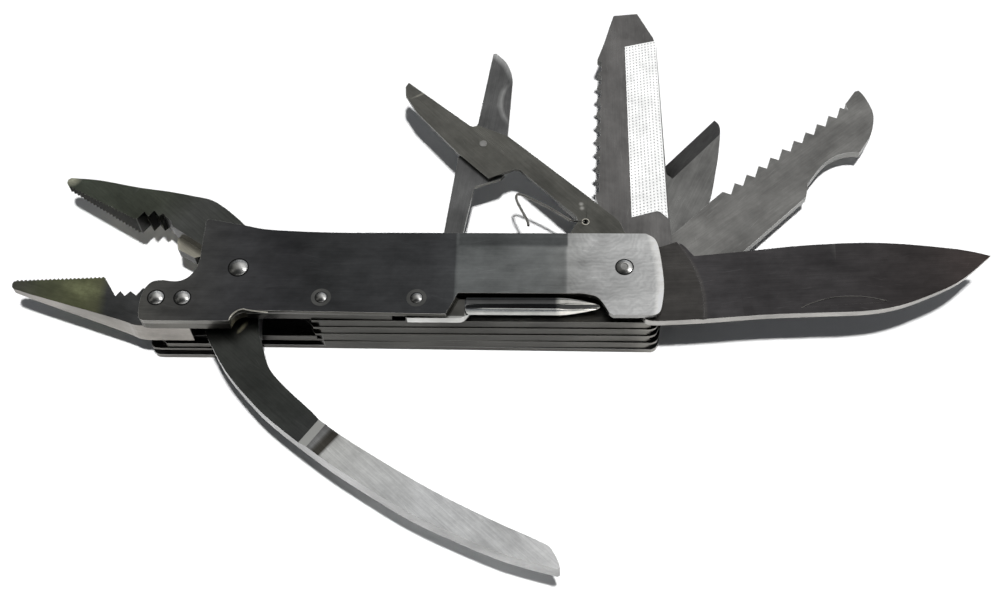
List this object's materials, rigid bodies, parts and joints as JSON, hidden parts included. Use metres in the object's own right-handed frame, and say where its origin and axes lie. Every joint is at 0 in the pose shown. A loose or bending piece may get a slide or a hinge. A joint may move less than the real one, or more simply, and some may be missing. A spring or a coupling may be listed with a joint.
{
  "type": "multi tool",
  "caption": "Steel pocket multi tool lying on its side: lever-closed pliers at one end, knife, scissors, file, saw, small blade and cross-point screwdriver fanned open.",
  "frame": {"origin": "a point on the outer face of the back cover, near the middle of the body and level with the tool pivot", "axes": "+X along the body towards the tool pivot, +Y across the body towards the side the tools open from, +Z through the thickness, out of the front cover"},
  "size_m": [0.2281, 0.1548, 0.0184],
  "materials": {
    "cover_steel": "dark brushed",
    "plate_steel": "brushed",
    "jaw_steel": "satin, slightly oiled",
    "lever_steel": "brushed",
    "rivet_steel": "polished",
    "blade_steel": "satin",
    "tool_steel": "satin",
    "driver_chrome": "bright"
  },
  "bodies": {
    "body": {"front_cover": "cover_steel", "back_cover": "cover_steel", "front_spacer": "plate_steel", "back_spacer": "plate_steel", "side_plate": "plate_steel", "liner_1": "plate_steel", "liner_2": "plate_steel", "liner_3": "plate_steel", "liner_4": "plate_steel", "spring_1": "plate_steel", "spring_2": "plate_steel", "spring_3": "plate_steel", "spring_4": "plate_steel", "fixed_jaw": "jaw_steel", "pliers_pivot": "rivet_steel", "jaw_rivets": "rivet_steel", "spring_rivets": "rivet_steel", "tool_pivot": "rivet_steel"},
    "pliers_lever": {"jaw_lever": "lever_steel"},
    "knife": {"knife_blade": "blade_steel"},
    "scissors": {"scissors_main_arm": "tool_steel", "scissors_wire": "tool_steel"},
    "scissors_pin": {"scissors_rivet": "rivet_steel"},
    "scissors_thumb": {"scissors_thumb_arm": "tool_steel"},
    "file": {"file_blade": "tool_steel"},
    "saw": {"saw_blade": "tool_steel"},
    "small": {"small_blade": "tool_steel"},
    "driver": {"phillips_driver": "driver_chrome"}
  },
  "joints": [
    {"name": "pliers_close", "type": "hinge", "parent": "body", "child": "pliers_lever", "pos_m": [-0.0372, -0.0006, 0.0104], "axis": [0, 0, 1], "range_deg": [-8, 29.2]},
    {"name": "knife_fold", "type": "hinge", "parent": "body", "child": "knife", "pos_m": [0.052, 0, 0.01495], "axis": [0, 0, 1], "range_deg": [0, 176]},
    {"name": "scissors_fold", "type": "hinge", "parent": "body", "child": "scissors", "pos_m": [0.052, 0, 0.01185], "axis": [0, 0, 1], "range_deg": [0, 46]},
    {"name": "scissors_pin_turn", "type": "hinge", "parent": "scissors", "child": "scissors_pin", "pos_m": [0.01802, 0.0385, 0.01185], "axis": [0, 0, 1], "range_deg": [0, 50]},
    {"name": "scissors_squeeze", "type": "hinge", "parent": "scissors_pin", "child": "scissors_thumb", "pos_m": [0.01802, 0.0385, 0.01135], "axis": [0, 0, -1], "range_deg": [-50, 0]},
    {"name": "file_fold", "type": "hinge", "parent": "body", "child": "file", "pos_m": [0.052, 0, 0.00875], "axis": [0, 0, 1], "range_deg": [-86, 88]},
    {"name": "saw_fold", "type": "hinge", "parent": "body", "child": "saw", "pos_m": [0.052, 0, 0.00565], "axis": [0, 0, 1], "range_deg": [-38, 136]},
    {"name": "small_blade_fold", "type": "hinge", "parent": "body", "child": "small", "pos_m": [0.052, 0, 0.00255], "axis": [0, 0, 1], "range_deg": [-64, 112]},
    {"name": "driver_swing", "type": "hinge", "parent": "body", "child": "driver", "pos_m": [0.0047, -0.0085, 0.01495], "axis": [0, 0, -1], "range_deg": [0, 90]}
  ],
  "couplings": [
    {"joint": "scissors_pin_turn", "follows": "scissors_fold", "ratio": 1.087}
  ]
}
